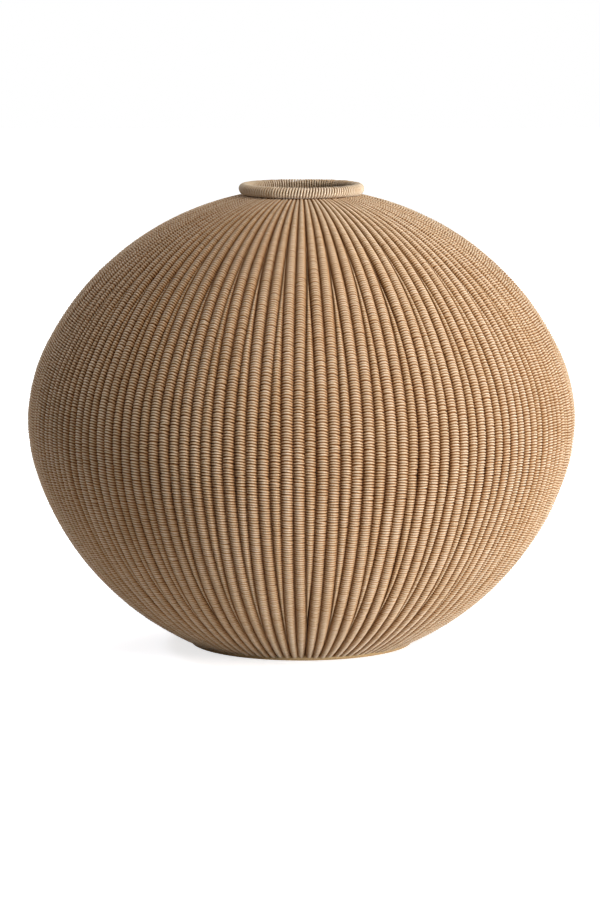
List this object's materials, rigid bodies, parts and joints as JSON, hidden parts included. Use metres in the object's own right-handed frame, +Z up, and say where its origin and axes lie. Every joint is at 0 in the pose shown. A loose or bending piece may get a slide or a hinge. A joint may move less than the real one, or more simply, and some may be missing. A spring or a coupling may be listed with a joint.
{
  "type": "ribbed twine vase",
  "caption": "Squat round vase of upright ribs whipped with tan twine over wire stakes, with filler ribs at the belly, a small whipped mouth ring and a flat round foot.",
  "frame": {"origin": "centre of the foot, on the surface it stands on", "axes": "+Z up along the vase's axis, +X to the right and +Y away from the viewer of the picture"},
  "size_m": [0.4, 0.4, 0.3369],
  "materials": {
    "rib_twine": "matt paper twine, wound in tight rows",
    "filler_twine": "matt paper twine, wound in tight rows",
    "rim_twine": "matt paper twine, wound around a ring",
    "web_twine": "matt paper twine, inside face",
    "hoop": "plain peeled cane",
    "board": "plain sanded board",
    "wire": "annealed iron wire",
    "pad": "pale felt"
  },
  "bodies": {
    "root": {"foot_pad": "pad", "base_board": "board", "main_stakes_01": "wire", "main_stakes_02": "wire", "main_stakes_03": "wire", "main_stakes_04": "wire", "main_stakes_05": "wire", "main_stakes_06": "wire", "lower_web_01": "web_twine", "lower_web_02": "web_twine", "lower_web_03": "web_twine", "upper_web_01": "web_twine", "upper_web_02": "web_twine", "upper_web_03": "web_twine", "upper_web_04": "web_twine", "belly_hoop": "hoop", "neck_hoop": "hoop", "rim_rod": "hoop", "rim_binding": "rim_twine", "lower_filler_ribs_01": "filler_twine", "lower_filler_ribs_02": "filler_twine", "lower_filler_ribs_03": "filler_twine", "upper_filler_ribs_01": "filler_twine", "upper_filler_ribs_02": "filler_twine", "upper_filler_ribs_03": "filler_twine", "lower_main_ribs_01": "rib_twine", "lower_main_ribs_02": "rib_twine", "lower_main_ribs_03": "rib_twine", "lower_main_ribs_04": "rib_twine", "lower_main_ribs_05": "rib_twine", "lower_main_ribs_06": "rib_twine", "lower_main_ribs_07": "rib_twine", "lower_main_ribs_08": "rib_twine", "lower_main_ribs_09": "rib_twine", "lower_main_ribs_10": "rib_twine", "lower_main_ribs_11": "rib_twine", "lower_main_ribs_12": "rib_twine", "lower_main_ribs_13": "rib_twine", "lower_main_ribs_14": "rib_twine", "lower_main_ribs_15": "rib_twine", "lower_main_ribs_16": "rib_twine", "lower_main_ribs_17": "rib_twine", "upper_main_ribs_01": "rib_twine", "upper_main_ribs_02": "rib_twine", "upper_main_ribs_03": "rib_twine", "upper_main_ribs_04": "rib_twine", "upper_main_ribs_05": "rib_twine", "upper_main_ribs_06": "rib_twine", "upper_main_ribs_07": "rib_twine", "upper_main_ribs_08": "rib_twine", "upper_main_ribs_09": "rib_twine", "upper_main_ribs_10": "rib_twine", "upper_main_ribs_11": "rib_twine", "upper_main_ribs_12": "rib_twine", "upper_main_ribs_13": "rib_twine", "upper_main_ribs_14": "rib_twine", "upper_main_ribs_15": "rib_twine", "upper_main_ribs_16": "rib_twine", "upper_main_ribs_17": "rib_twine"}
  },
  "joints": []
}
